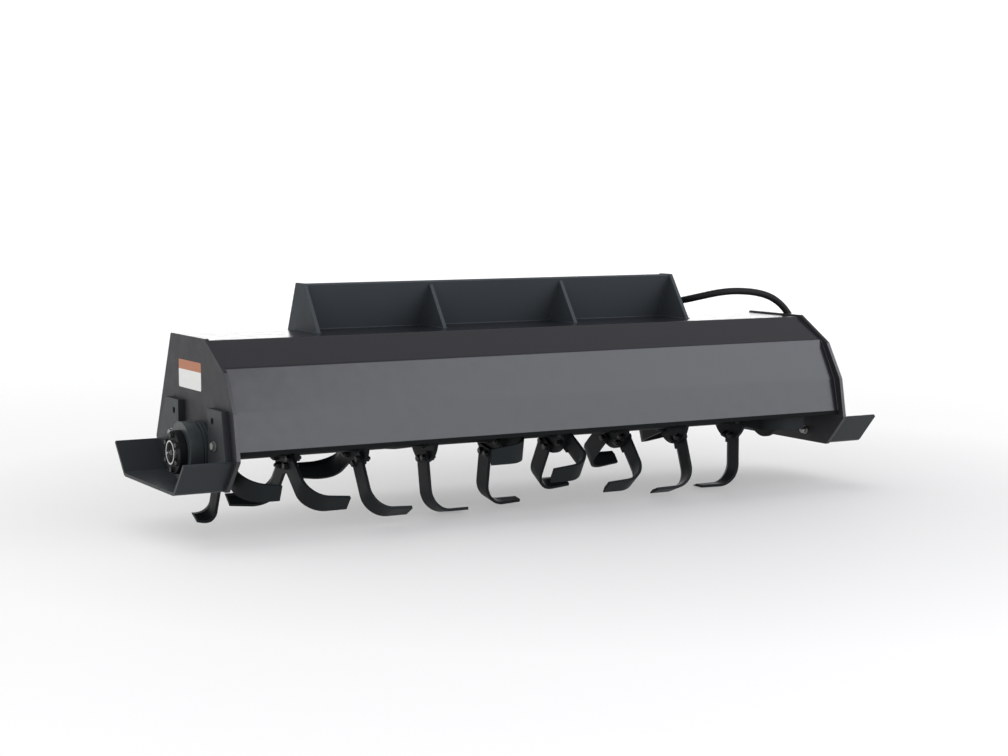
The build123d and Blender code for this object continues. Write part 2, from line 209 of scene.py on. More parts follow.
class ShaderGraph(NodeGraph):
    """Node tree of one material, around its shader and Object coordinates."""

    BEVEL_SAMPLES = 4
    EDGE_COSINES = (0.80, 0.97)

    def __init__(self, name: str) -> None:
        """Start a material.

        Args:
            name: name of the material.
        """
        self.material = bpy.data.materials.new(name)
        self.material.use_nodes = True
        super().__init__(self.material.node_tree)
        self.surface = self.tree.nodes["Principled BSDF"]
        self.place = self.node("ShaderNodeTexCoord").outputs["Object"]

    def dress(self, values: dict[str, Any]) -> None:
        """Feed the shader's own sockets, by their names."""
        for name, value in values.items():
            self.feed(self.surface.inputs[name], value)

    def noise(self, size: float, grain: Grain, stretch: Place = (1.0, 1.0, 1.0)) -> Socket:
        """Add a noise pattern.

        Args:
            size: width of one spot in metres.
            grain: how much finer noise it holds.
            stretch: scale of the pattern along X, Y and Z.

        Returns:
            The noise's value.
        """
        mapping = self.node("ShaderNodeMapping", {"Vector": self.place, "Scale": stretch})
        inputs = {"Vector": mapping.outputs["Vector"], "Scale": 1.0 / size, "Detail": grain.value}
        return self.node("ShaderNodeTexNoise", inputs).outputs["Fac"]

    def tint(self, factor: Socket, first: Any, second: Any) -> Socket:
        """Mix two colours.

        Args:
            factor: share of the second colour.
            first: colour or socket.
            second: colour or socket.

        Returns:
            The mixed colour.
        """
        colours = [(*value, 1.0) if isinstance(value, tuple) else value for value in (first, second)]
        made = self.node("ShaderNodeMix", {0: factor, 6: colours[0], 7: colours[1]}, data_type="RGBA")
        return made.outputs[2]

    def soft_edges(self, radius: float) -> Socket:
        """Normal with rounded-looking edges of a radius in metres."""
        return self.result("ShaderNodeBevel", {"Radius": radius}, samples=self.BEVEL_SAMPLES)

    def edge_mask(self, soft_normal: Socket) -> Socket:
        """Find the edges of a piece.

        Args:
            soft_normal: normal from soft_edges.

        Returns:
            One on an edge and nought on a flat face.
        """
        normal = self.node("ShaderNodeNewGeometry").outputs["Normal"]
        return self.between(self.measure("DOT_PRODUCT", soft_normal, normal), (1.0, 0.0), self.EDGE_COSINES)

    def relief(self, height: Socket, depth: float, normal: Socket | None = None) -> Socket:
        """Add fine relief.

        Args:
            height: pattern of the relief.
            depth: its full height in metres.
            normal: normal that it stands on.

        Returns:
            The normal with the relief.
        """
        under = {} if normal is None else {"Normal": normal}
        return self.result("ShaderNodeBump", {"Distance": depth, "Height": height, **under})


class GeometryGraph(NodeGraph):
    """Geometry Nodes tree with named inputs for its sizes."""

    def __init__(self, name: str) -> None:
        """Start a tree with one geometry in and one out.

        Args:
            name: name of the tree.
        """
        super().__init__(bpy.data.node_groups.new(name, "GeometryNodeTree"))
        self.identifiers: dict[str, str] = {}
        for way in ("OUTPUT", "INPUT"):
            self.tree.interface.new_socket("Geometry", in_out=way, socket_type="NodeSocketGeometry")
        self.entry = self.tree.nodes.new("NodeGroupInput")
        self.exit = self.tree.nodes.new("NodeGroupOutput")

    def size(self, name: str, kind: str = "NodeSocketFloat") -> Socket:
        """Add a named input.

        Args:
            name: name of the input.
            kind: type of its socket.

        Returns:
            The socket that gives its value inside the tree.
        """
        socket = self.tree.interface.new_socket(name, in_out="INPUT", socket_type=kind)
        self.identifiers[name] = socket.identifier
        return self.entry.outputs[name]

    def lift(self, geometry: Socket, height: Socket) -> Socket:
        """Move geometry up along Z."""
        offset = self.result("ShaderNodeCombineXYZ", {"Z": height})
        return self.result("GeometryNodeTransform", {"Geometry": geometry, "Translation": offset})

    def close(self, geometry: Socket, material: Socket) -> None:
        """End the tree with real faces in one material.

        Args:
            geometry: what the tree has made.
            material: material input.
        """
        real = self.result("GeometryNodeRealizeInstances", {"Geometry": geometry})
        dressed = self.result("GeometryNodeSetMaterial", {"Geometry": real, "Material": material})
        self.feed(self.exit.inputs[0], dressed)

    def make(self, name: str, source: bpy.types.Mesh, values: dict[str, Any]) -> bpy.types.Object:
        """Run the tree over a mesh and keep the result as a plain mesh.

        Args:
            name: name of the piece.
            source: points or paths that the tree works on.
            values: value of each named input.

        Returns:
            The piece.
        """
        holder = new_object(name + "_source", source)
        modifier = holder.modifiers.new("tree", "NODES")
        modifier.node_group = self.tree
        for key, value in values.items():
            modifier[self.identifiers[key]] = value
        graph = bpy.context.evaluated_depsgraph_get()
        mesh = bpy.data.meshes.new_from_object(holder.evaluated_get(graph))
        mesh.name = name
        holder.modifiers.remove(modifier)
        bpy.data.objects.remove(holder)
        bpy.data.meshes.remove(source)
        return new_object(name, mesh)


# Finishes


@dataclass(frozen=True)
class Finish(ABC):
    """One kind of surface.

    Attributes:
        name: name of its material.
        base: linear colour.
        roughness: middle roughness.
        edge_radius: radius of the softened edges in metres.
    """

    name: str
    base: Colour
    roughness: float
    edge_radius: float = 0.0012

    def shade(self, share: float) -> Colour:
        """The base colour, lighter or darker by a share."""
        return tuple(channel * (1.0 + share) for channel in self.base)

    def wander(self, graph: ShaderGraph, size: float, grain: Grain, shares: Span) -> Socket:
        """The base colour, wandering between a darker and a lighter share in patches of a size."""
        return graph.tint(graph.noise(size, grain), self.shade(shares[0]), self.shade(shares[1]))

    def about_roughness(self, graph: ShaderGraph, pattern: Socket, spread: float) -> Socket:
        """The middle roughness, spread to both sides by a pattern."""
        return graph.between(pattern, (self.roughness - spread, self.roughness + spread))

    def material(self) -> bpy.types.Material:
        """The finish's material, made once.

        Returns:
            The material.
        """
        known = bpy.data.materials.get(self.name)
        if known is not None:
            return known
        graph = ShaderGraph(self.name)
        self.paint(graph)
        return graph.material

    @abstractmethod
    def paint(self, graph: ShaderGraph) -> None:
        """Fill in the material's nodes.

        Args:
            graph: tree to fill.
        """


@dataclass(frozen=True)
class PowderCoat(Finish):
    """Baked powder coat with orange peel, a slow drift of tone, and edges lighter where the coat runs thin and as
    a painted highlight.

    Attributes:
        drift: share by which the tone wanders.
        drift_size: width of one patch of tone in metres.
        rub: how far the roughness wanders to both sides.
        rub_size: width of one rubbed patch in metres.
        peel_size: width of one orange-peel cell in metres.
        peel_depth: height of the orange peel in metres.
        edge_thin_coat_and_highlight: share of lightening on the edges, partly for the coat running thin there and
            partly a painted highlight.
        gloss: strength of the mirror-like part of its shine, 0.5 for plain paint.
        side_roughness: how much rougher the coat is on faces that look sideways.
        side_cosines: sideways parts of a face's normal between which that sets in.
    """

    drift: float = 0.10
    drift_size: float = 0.22
    rub: float = 0.04
    rub_size: float = 0.03
    peel_size: float = 0.0022
    peel_depth: float = 0.00006
    edge_thin_coat_and_highlight: float = 0.25
    gloss: float = 0.5
    side_roughness: float = 0.0
    side_cosines: Span = (0.90, 0.95)

    def paint(self, graph: ShaderGraph) -> None:
        """Fill in the coat's nodes.

        Args:
            graph: tree to fill.
        """
        soft = graph.soft_edges(self.edge_radius)
        tone = self.wander(graph, self.drift_size, Grain.CLOUDY, (-self.drift, self.drift))
        rough = self.about_roughness(graph, graph.noise(self.rub_size, Grain.MOTTLED), self.rub)
        if self.side_roughness:
            rough = graph.math("ADD", rough, self.rougher_sides(graph))
        peel = graph.noise(self.peel_size, Grain.PLAIN)
        # Edges are lightened by edge_thin_coat_and_highlight: partly the thin coat there, partly a painted
        # highlight.
        graph.dress({
            "Base Color": graph.tint(graph.edge_mask(soft), tone, self.shade(self.edge_thin_coat_and_highlight)),
            "Roughness": rough,
            "Specular IOR Level": self.gloss,
            "Normal": graph.relief(peel, self.peel_depth, soft),
        })

    def rougher_sides(self, graph: ShaderGraph) -> Socket:
        """Roughness that the faces of the end plates add.

        Args:
            graph: tree to fill.

        Returns:
            The added roughness.
        """
        normal = graph.node("ShaderNodeNewGeometry").outputs["True Normal"]
        sideways = graph.math("ABSOLUTE", graph.along(normal, "X"))
        return graph.between(sideways, (0.0, self.side_roughness), self.side_cosines)


@dataclass(frozen=True)
class CastPaint(Finish):
    """Painted iron casting with a sandy skin.

    Attributes:
        grit_size: width of a grain in metres.
        grit_depth: height of a grain in metres.
        grit_rub: how far the roughness wanders from grain to grain.
        stain_size: width of one patch of tone in metres.
        stain_shares: shares of its darkest and lightest patches.
    """

    grit_size: float = 0.0016
    grit_depth: float = 0.00022
    grit_rub: float = 0.08
    stain_size: float = 0.02
    stain_shares: Span = (-0.2, 0.25)

    def paint(self, graph: ShaderGraph) -> None:
        """Fill in the casting's nodes.

        Args:
            graph: tree to fill.
        """
        grit = graph.noise(self.grit_size, Grain.CLOUDY)
        graph.dress({
            "Base Color": self.wander(graph, self.stain_size, Grain.CLOUDY, self.stain_shares),
            "Roughness": self.about_roughness(graph, grit, self.grit_rub),
            "Normal": graph.relief(grit, self.grit_depth, graph.soft_edges(self.edge_radius)),
        })


@dataclass(frozen=True)
class TurnedSteel(Finish):
    """Bare steel with fine tool marks.

    Attributes:
        mark_size: width of the marks across X in metres.
        mark_depth: depth of the marks in metres.
        mark_stretch: scale of the marks along X, Y and Z.
        stain: share of darkening in the stained spots.
        stain_size: width of one spot in metres.
        stain_limits: noise between which a spot begins and is full.
        stain_roughness: how much rougher a full spot is.
    """

    mark_size: float = 0.0008
    mark_depth: float = 0.00003
    mark_stretch: Place = (1.0, 0.08, 0.08)
    stain: float = 0.35
    stain_size: float = 0.012
    stain_limits: Span = (0.45, 0.75)
    stain_roughness: float = 0.15

    def paint(self, graph: ShaderGraph) -> None:
        """Fill in the steel's nodes.

        Args:
            graph: tree to fill.
        """
        marks = graph.noise(self.mark_size, Grain.PLAIN, self.mark_stretch)
        stains = graph.between(graph.noise(self.stain_size, Grain.MOTTLED), (0.0, 1.0), self.stain_limits)
        rough = (self.roughness, self.roughness + self.stain_roughness)
        graph.dress({
            "Base Color": graph.tint(stains, self.base, self.shade(-self.stain)),
            "Metallic": 1.0,
            "Roughness": graph.between(stains, rough, (0.0, 1.0)),
            "Normal": graph.relief(marks, self.mark_depth, graph.soft_edges(self.edge_radius)),
        })


@dataclass(frozen=True)
class HoseRubber(Finish):
    """Black hose cover with the faint weave of its wrapping.

    Attributes:
        weave_size: width of one thread of the wrapping in metres.
        weave_depth: height of a thread in metres.
        weave_unevenness: how unevenly the threads lie, from nought to one.
        dust_size: width of one dusty patch in metres.
        dust_shares: shares of the darkest and the dustiest patches.
        gloss: strength of the mirror-like part of its shine.
    """

    weave_size: float = 0.0016
    weave_depth: float = 0.0002
    weave_unevenness: float = 0.35
    dust_size: float = 0.03
    dust_shares: Span = (-0.2, 0.35)
    gloss: float = 0.15

    def paint(self, graph: ShaderGraph) -> None:
        """Fill in the rubber's nodes.

        Args:
            graph: tree to fill.
        """
        threads = {"Vector": graph.place, "Scale": 1.0 / self.weave_size, "Randomness": self.weave_unevenness}
        weave = graph.node("ShaderNodeTexVoronoi", threads, feature="SMOOTH_F1")
        graph.dress({
            "Base Color": self.wander(graph, self.dust_size, Grain.MOTTLED, self.dust_shares),
            "Roughness": self.roughness,
            "Specular IOR Level": self.gloss,
            "Normal": graph.relief(weave.outputs["Distance"], self.weave_depth),
        })


@dataclass(frozen=True)
class TwoToneSticker(Finish):
    """Blank film in two plain colours.

    Attributes:
        band: colour of the upper band.
        band_height: height on the machine where the band begins, in metres.
        band_blend: half the height over which the colours meet, in metres.
        fade: share by which the film's tone wanders.
        fade_size: width of one faded patch in metres.
        crease_size: width of one crease in metres.
        crease_depth: height of a crease in metres.
    """

    band: Colour = (0.5, 0.2, 0.1)
    band_height: float = 0.0
    band_blend: float = 0.0003
    fade: float = 0.06
    fade_size: float = 0.02
    crease_size: float = 0.006
    crease_depth: float = 0.00008

    def paint(self, graph: ShaderGraph) -> None:
        """Fill in the film's nodes.

        Args:
            graph: tree to fill.
        """
        limits = (self.band_height - self.band_blend, self.band_height + self.band_blend)
        upper = graph.between(graph.along(graph.place, "Z"), (0.0, 1.0), limits)
        film = self.wander(graph, self.fade_size, Grain.CLOUDY, (-self.fade, self.fade))
        graph.dress({
            "Base Color": graph.tint(upper, film, self.band),
            "Roughness": self.roughness,
            "Normal": graph.relief(graph.noise(self.crease_size, Grain.SOFT), self.crease_depth),
        })


@dataclass(frozen=True)
class StudioFloor(Finish):
    """Pale matt studio floor that glows by itself, less near the machine as a painted shade, so that shadows stay
    light and its far end fades to white.

    Attributes:
        patch: share by which the tone wanders.
        patch_size: width of one patch in metres.
        painted_shade_glow: brightness of its own under the machine, kept low as a painted shade.
        open_glow: brightness of its own beside the machine.
        far_glow: brightness of its own far away.
        middle: middle of the painted shade.
        painted_shade_ends: distances from there between which the painted shade clears, in metres.
        fade_end: distance where the floor is white.
    """

    patch: float = 0.008
    patch_size: float = 1.5
    painted_shade_glow: float = 0.34
    open_glow: float = 0.58
    far_glow: float = 0.83
    middle: Place = (0.25, -0.15, -0.40)
    painted_shade_ends: Span = (0.45, 1.9)
    fade_end: float = 8.0

    def paint(self, graph: ShaderGraph) -> None:
        """Fill in the floor's nodes.

        Args:
            graph: tree to fill.
        """
        away = graph.measure("DISTANCE", graph.place, self.middle)
        # Painted shade: the floor's glow is dimmer near the machine and rises to the open glow by the far end of
        # painted_shade_ends.
        near = graph.between(away, (self.painted_shade_glow, self.open_glow), self.painted_shade_ends)
        rise = (0.0, self.far_glow - self.open_glow)
        far = graph.between(away, rise, (self.painted_shade_ends[1], self.fade_end))
        graph.dress({
            "Base Color": self.wander(graph, self.patch_size, Grain.SOFT, (-self.patch, self.patch)),
            "Roughness": self.roughness,
            "Emission Color": WHITE,
            "Emission Strength": graph.math("ADD", near, far),
        })


HOOD_COAT = PowderCoat("hood_powder_coat", (0.0118, 0.0120, 0.0150), 0.21, side_roughness=0.36)
MOUNT_COAT = PowderCoat("mount_powder_coat", (0.045, 0.051, 0.056), 0.46, gloss=0.05)
SKID_COAT = PowderCoat("skid_powder_coat", (0.024, 0.027, 0.030), 0.36, gloss=0.12)
# Painted shade: the lip is coloured near-black to stand in for the shadow along the hood's lower edge.
LIP_PAINTED_SHADE_COAT = PowderCoat("lip_painted_shade_black", (0.005, 0.006, 0.006), 0.80, gloss=0.08)
BEARING_COAT = CastPaint("bearing_casting_paint", (0.030, 0.036, 0.038), 0.42)
CAP_COAT = PowderCoat("bearing_cap_black_paint", (0.006, 0.007, 0.008), 0.50, gloss=0.10)
RING_STEEL = TurnedSteel("turned_ring_steel", (0.62, 0.62, 0.61), 0.30)
MOTOR_PAINT = CastPaint("motor_casting_paint", (0.020, 0.020, 0.021), 0.42)
ZINC_STEEL = TurnedSteel("zinc_plated_steel", (0.42, 0.42, 0.41), 0.38)
BLACK_STEEL = TurnedSteel("blackened_steel", (0.060, 0.060, 0.062), 0.42, stain=0.5)
SHAFT_STEEL = TurnedSteel("ground_shaft_steel", (0.50, 0.50, 0.50), 0.28)
BRACKET_COAT = PowderCoat("bracket_powder_coat", (0.045, 0.051, 0.056), 0.46, gloss=0.05)
ROTOR_COAT = PowderCoat("rotor_black_paint", (0.013, 0.015, 0.016), 0.48, gloss=0.08)
TINE_COAT = PowderCoat("tine_black_paint", (0.0115, 0.0138, 0.0150), 0.45, drift=0.18, gloss=0.09)
HOSE_COVER = HoseRubber("hose_cover_rubber", (0.008, 0.008, 0.009), 0.60)
FLOOR_PAINT = StudioFloor("studio_floor", (0.22, 0.22, 0.22), 0.7)

NODE_FINISHES: dict[Slot, Finish] = {
    Slot.HOOD: HOOD_COAT,
    Slot.LIP: LIP_PAINTED_SHADE_COAT,
    Slot.MOUNT: MOUNT_COAT,
    Slot.SKID: SKID_COAT,
    Slot.BEARING: BEARING_COAT,
    Slot.RING: RING_STEEL,
    Slot.MOTOR: MOTOR_PAINT,
    Slot.FITTING: ZINC_STEEL,
    Slot.BRACKET: BRACKET_COAT,
    Slot.HOSE: HOSE_COVER,
    Slot.ROTOR: ROTOR_COAT,
    Slot.SHAFT: SHAFT_STEEL,
    Slot.TINE: TINE_COAT,
}
OWN_FINISHES: dict[str, Finish] = {"bearing_cap": CAP_COAT}


# Pieces


def keep_piece(made: bpy.types.Object, body: Body) -> bpy.types.Object:
    """Ride a finished piece on its body.

    Args:
        made: the piece, in place.
        body: body that carries it.

    Returns:
        The same piece.
    """
    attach(made, body.value)
    log.info("%s on %s, %d faces", made.name, body.value, len(getattr(made.data, "polygons", ())))
    return made


def new_object(name: str, data: bpy.types.ID) -> bpy.types.Object:
    """Link a new object at the origin.

    Args:
        name: name of the object.
        data: its mesh, curve, light or camera.

    Returns:
        The object.
    """
    made = bpy.data.objects.new(name, data)
    bpy.context.scene.collection.objects.link(made)
    return made


def mesh_object(name: str, points: Sequence[Vector], faces: Sequence[Sequence[int]],
                finish: Finish) -> bpy.types.Object:
    """Make a mesh piece with its normals outwards.

    Args:
        name: name of the piece.
        points: its corners.
        faces: its faces as indices of points.
        finish: finish that it takes.

    Returns:
        The piece.
    """
    mesh = bpy.data.meshes.new(name)
    mesh.from_pydata(points, [], faces)
    work = bmesh.new()
    work.from_mesh(mesh)
    bmesh.ops.remove_doubles(work, verts=work.verts, dist=SAME_POINT)
    bmesh.ops.recalc_face_normals(work, faces=work.faces)
    work.to_mesh(mesh)
    work.free()
    mesh.materials.append(finish.material())
    return new_object(name, mesh)


@dataclass(frozen=True)
class Seat:
    """Place of a fastener: the point that its washer lies on and the way it faces."""

    point: Vector
    facing: Vector


@dataclass(frozen=True)
class HexSize:
    """Sizes of a hexagon head or nut, in metres.

    Attributes:
        flats: width across flats.
        height: height of the hexagon.
        washer_radius: outer radius of the washer.
        washer_height: its thickness.
        thread_radius: radius of the bolt.
        thread_length: length of thread past a nut, or nought on a head.
    """

    flats: float
    height: float
    washer_radius: float
    washer_height: float
    thread_radius: float
    thread_length: float = 0.0


class FastenerTree:
    """Hexagon heads or nuts on washers, set on points and turned at random about their axes."""

    FACING = "facing"
    HEXAGON_SIDES = 6
    WASHER_SIDES = 20
    THREAD_SIDES = 12
    CHAMFER = 0.22  # share of the height
    CHAMFER_TOP = 0.86  # share of the corner radius
    MERGE = 1e-5
    SEED = 7

    def __init__(self, threaded: bool) -> None:
        """Build the tree.

        Args:
            threaded: whether the bolt's end stands out of the hexagon.
        """
        graph = GeometryGraph("threaded_nuts" if threaded else "hexagon_heads")
        self.graph = graph
        self.sizes = {field.name: graph.size(field.name) for field in fields(HexSize)}
        material = graph.size("material", "NodeSocketMaterial")
        pieces = [self.hexagon(), self.washer()]
        if threaded:
            pieces.append(self.thread())
        bolt = graph.result("GeometryNodeJoinGeometry", {0: pieces})
        points = graph.result("GeometryNodeMeshToPoints", {"Mesh": graph.entry.outputs["Geometry"]})
        places = {"Points": points, "Instance": bolt, "Rotation": self.turn()}
        graph.close(graph.result("GeometryNodeInstanceOnPoints", places), material)

    def hexagon(self) -> Socket:
        """Hexagon with a chamfered top, standing on the washer.

        Returns:
            The hexagon.
        """
        graph, height, washer = self.graph, self.sizes["height"], self.sizes["washer_height"]
        corner = graph.math("DIVIDE", self.sizes["flats"], math.sqrt(3.0))
        bevel = graph.math("MULTIPLY", height, self.CHAMFER)
        shank = graph.math("SUBTRACT", height, bevel)
        prism = {"Vertices": self.HEXAGON_SIDES, "Radius": corner, "Depth": shank}
        cap = {
            "Vertices": self.HEXAGON_SIDES,
            "Radius Top": graph.math("MULTIPLY", corner, self.CHAMFER_TOP),
            "Radius Bottom": corner,
            "Depth": bevel,
        }
        halves = [
            graph.lift(
                self.open_end(graph.node("GeometryNodeMeshCylinder", prism), "Top"),
                graph.math("ADD", washer, graph.math("MULTIPLY", shank, 0.5)),
            ),
            graph.lift(
                self.open_end(graph.node("GeometryNodeMeshCone", cap), "Bottom"),
                graph.math("ADD", washer, shank),
            ),
        ]
        joined = graph.result("GeometryNodeJoinGeometry", {0: halves})
        return graph.result("GeometryNodeMergeByDistance", {"Geometry": joined, "Distance": self.MERGE})

    def open_end(self, solid: bpy.types.Node, end: str) -> Socket:
        """A cylinder or cone without the face of one end."""
        inputs = {"Geometry": solid.outputs["Mesh"], "Selection": solid.outputs[end]}
        return self.graph.result("GeometryNodeDeleteGeometry", inputs, domain="FACE")

    def washer(self) -> Socket:
        """Washer under the hexagon.

        Returns:
            The washer.
        """
        radius, height = self.sizes["washer_radius"], self.sizes["washer_height"]
        inputs = {"Vertices": self.WASHER_SIDES, "Radius": radius, "Depth": height}
        plate = self.graph.result("GeometryNodeMeshCylinder", inputs)
        return self.graph.lift(plate, self.graph.math("MULTIPLY", height, 0.5))

    def thread(self) -> Socket:
        """End of the bolt past the nut.

        Returns:
            The bolt's end.
        """
        graph, radius = self.graph, self.sizes["thread_radius"]
        inputs = {
            "Vertices": self.THREAD_SIDES,
            "Radius Top": graph.math("MULTIPLY", radius, self.CHAMFER_TOP),
            "Radius Bottom": radius,
            "Depth": self.sizes["thread_length"],
        }
        foot = graph.math("ADD", self.sizes["washer_height"], self.sizes["height"])
        return graph.lift(graph.result("GeometryNodeMeshCone", inputs), foot)

    def turn(self) -> Socket:
        """Rotation of a fastener: the way its seat faces, with a random turn about that axis.

        Returns:
            The rotation.
        """
        graph = self.graph
        stored = {"Name": self.FACING}
        facing = graph.result("GeometryNodeInputNamedAttribute", stored, data_type="FLOAT_VECTOR")
        aligned = graph.result("FunctionNodeAlignRotationToVector", {"Vector": facing}, axis="Z")
        limits = {2: 0.0, 3: math.pi / 3, "Seed": self.SEED}
        chance = graph.node("FunctionNodeRandomValue", limits, data_type="FLOAT").outputs[1]
        spin = graph.result("FunctionNodeAxisAngleToRotation", {"Axis": (0, 0, 1), "Angle": chance})
        both = {"Rotation": aligned, "Rotate By": spin}
        return graph.result("FunctionNodeRotateRotation", both, rotation_space="LOCAL")

    def set_on(self, name: str, seats: Iterable[Seat], size: HexSize, finish: Finish) -> bpy.types.Object:
        """Set fasteners of one size on their seats.

        Args:
            name: name of the piece.
            seats: where they sit and face.
            size: their sizes.
            finish: finish that they take.

        Returns:
            One piece with all of them.
        """
        seats = list(seats)
        mesh = bpy.data.meshes.new(name + "_seats")
        mesh.from_pydata([seat.point for seat in seats], [], [])
        attribute = mesh.attributes.new(self.FACING, "FLOAT_VECTOR", "POINT")
        for item, seat in zip(attribute.data, seats):
            item.vector = seat.facing
        return self.graph.make(name, mesh, {**asdict(size), "material": finish.material()})


@dataclass(frozen=True)
class WeldPath:
    """Corner line that a weld follows."""

    points: Sequence[Vector]
    closed: bool = False


class WeldTree:
    """Rippled weld beads along paths."""

    RIPPLE_STEPS = 3.0  # points along one ripple
    RIPPLE_PITCH = 1.1  # share of the leg
    RIPPLE_DEPTH = 0.22  # share of the leg
    LEAST, MOST = 0.92, 1.08  # shares of the leg between which a bead wanders
    SEED = 11
    BEAD_SIDES = 8

    def __init__(self) -> None:
        """Build the tree."""
        graph = GeometryGraph("weld_beads")
        leg, pitch = graph.size("leg"), graph.size("ripple_pitch")
        material = graph.size("material", "NodeSocketMaterial")
        line = graph.result("GeometryNodeMeshToCurve", {"Mesh": graph.entry.outputs["Geometry"]})
        step = graph.math("DIVIDE", pitch, self.RIPPLE_STEPS)
        even = graph.result("GeometryNodeResampleCurve", {"Curve": line, "Length": step}, mode="LENGTH")
        index = graph.result("GeometryNodeInputIndex")
        ripple = graph.math("FRACT", graph.math("DIVIDE", index, self.RIPPLE_STEPS))
        limits = {2: self.LEAST, 3: self.MOST, "Seed": self.SEED}
        wander = graph.node("FunctionNodeRandomValue", limits, data_type="FLOAT").outputs[1]
        shape = graph.math("SUBTRACT", wander, graph.math("MULTIPLY", ripple, self.RIPPLE_DEPTH))
        ring = {"Resolution": self.BEAD_SIDES, "Radius": 1.0}
        bead = {
            "Curve": even,
            "Profile Curve": graph.result("GeometryNodeCurvePrimitiveCircle", ring),
            "Scale": graph.math("MULTIPLY", leg, shape),
            "Fill Caps": True,
        }
        graph.close(graph.result("GeometryNodeCurveToMesh", bead), material)
        self.graph = graph

    def lay(self, name: str, paths: Sequence[WeldPath], leg: float, finish: Finish) -> bpy.types.Object:
        """Lay beads along paths.

        Args:
            name: name of the piece.
            paths: corner lines to weld.
            leg: radius of a bead in metres.
            finish: finish that covers them.

        Returns:
            One piece with all of them.
        """
        points: list[Vector] = []
        edges: list[tuple[int, int]] = []
        for path in paths:
            first = len(points)
            points.extend(path.points)
            edges.extend((index, index + 1) for index in range(first, len(points) - 1))
            if path.closed:
                edges.append((len(points) - 1, first))
        mesh = bpy.data.meshes.new(name + "_paths")
        mesh.from_pydata(points, edges, [])
        values = {"leg": leg, "ripple_pitch": leg * self.RIPPLE_PITCH, "material": finish.material()}
        return self.graph.make(name, mesh, values)


@dataclass(frozen=True)
class Station:
    """One ring of a turned piece: its place along the axis, its radius and its section."""

    along: float
    radius: float
    section: Section = Section.ROUND


class TurnedPiece:
    """Closed piece turned about an axis, with hexagons, crimps or ribs where its stations say so."""

    SEGMENTS = 72
    CRIMPS = 8
    CRIMP_DEPTH = 0.06  # share of the radius
    CRIMP_SHARPNESS = 8
    RIBS = 36
    RIB_DEPTH = 0.035  # share of the radius

    def __init__(self, origin: Vector, axis: Vector) -> None:
        """Set the axis.

        Args:
            origin: point where the piece begins.
            axis: its direction.
        """
        self.origin = origin
        self.axis = axis.normalized()
        self.across = self.axis.orthogonal().normalized()
        self.up = self.axis.cross(self.across)

    def reach(self, station: Station, angle: float) -> float:
        """Radius of a station at an angle.

        Args:
            station: the ring, whose radius is that of the corners on a hexagon.
            angle: angle round the axis in radians.

        Returns:
            The radius there.
        """
        if station.section is Section.HEXAGON:
            inside = (angle % (math.pi / 3)) - math.pi / 6
            return station.radius * math.cos(math.pi / 6) / math.cos(inside)
        if station.section is Section.CRIMPED:
            groove = abs(math.sin(self.CRIMPS * angle / 2)) ** self.CRIMP_SHARPNESS
            return station.radius * (1.0 - self.CRIMP_DEPTH * groove)
        if station.section is Section.RIBBED:
            return station.radius * (1.0 - self.RIB_DEPTH * (math.cos(self.RIBS * angle) > 0))
        return station.radius

    def build(self, name: str, stations: Sequence[Station], finish: Finish) -> bpy.types.Object:
        """Turn the piece.

        Args:
            name: name of the piece.
            stations: its rings, in order along the axis.
            finish: finish that it takes.

        Returns:
            The piece.
        """
        points: list[Vector] = []
        for station in stations:
            for number in range(self.SEGMENTS):
                angle = math.tau * number / self.SEGMENTS
                outwards = self.across * math.cos(angle) + self.up * math.sin(angle)
                points.append(self.origin + self.axis * station.along + outwards * self.reach(station, angle))
        faces: list[list[int]] = []
        for ring in range(len(stations) - 1):
            for number in range(self.SEGMENTS):
                following = (number + 1) % self.SEGMENTS
                low, high = ring * self.SEGMENTS, (ring + 1) * self.SEGMENTS
                faces.append([low + number, low + following, high + following, high + number])
        faces.append(list(range(self.SEGMENTS)))
        faces.append([(len(stations) - 1) * self.SEGMENTS + number for number in range(self.SEGMENTS)])
        return mesh_object(name, points, faces, finish)


def ring_points(centre: Vector, radius: float, count: int) -> list[Vector]:
    """Points evenly round a circle about the X axis.

    Args:
        centre: centre of the circle.
        radius: its radius.
        count: number of points.

    Returns:
        The points, the first straight below the centre.
    """
    points = []
    for number in range(count):
        angle = math.tau * number / count
        points.append(centre + Vector((0.0, math.sin(angle), -math.cos(angle))) * radius)
    return points


@dataclass
class Tools:
    """Node trees that the sub-assemblies share."""

    heads: FastenerTree
    nuts: FastenerTree
    welds: WeldTree


M8_HEAD = HexSize(0.013, 0.0055, 0.0080, 0.0016, 0.004)
M10_HEAD = HexSize(0.016, 0.0066, 0.0100, 0.0020, 0.005)
M10_NUT = HexSize(0.016, 0.0084, 0.0100, 0.0020, 0.005, 0.004)
M12_HEAD = HexSize(0.018, 0.0076, 0.0120, 0.0025, 0.006)
M12_NUT = HexSize(0.018, 0.0108, 0.0120, 0.0025, 0.006, 0.005)


# Sub-assemblies


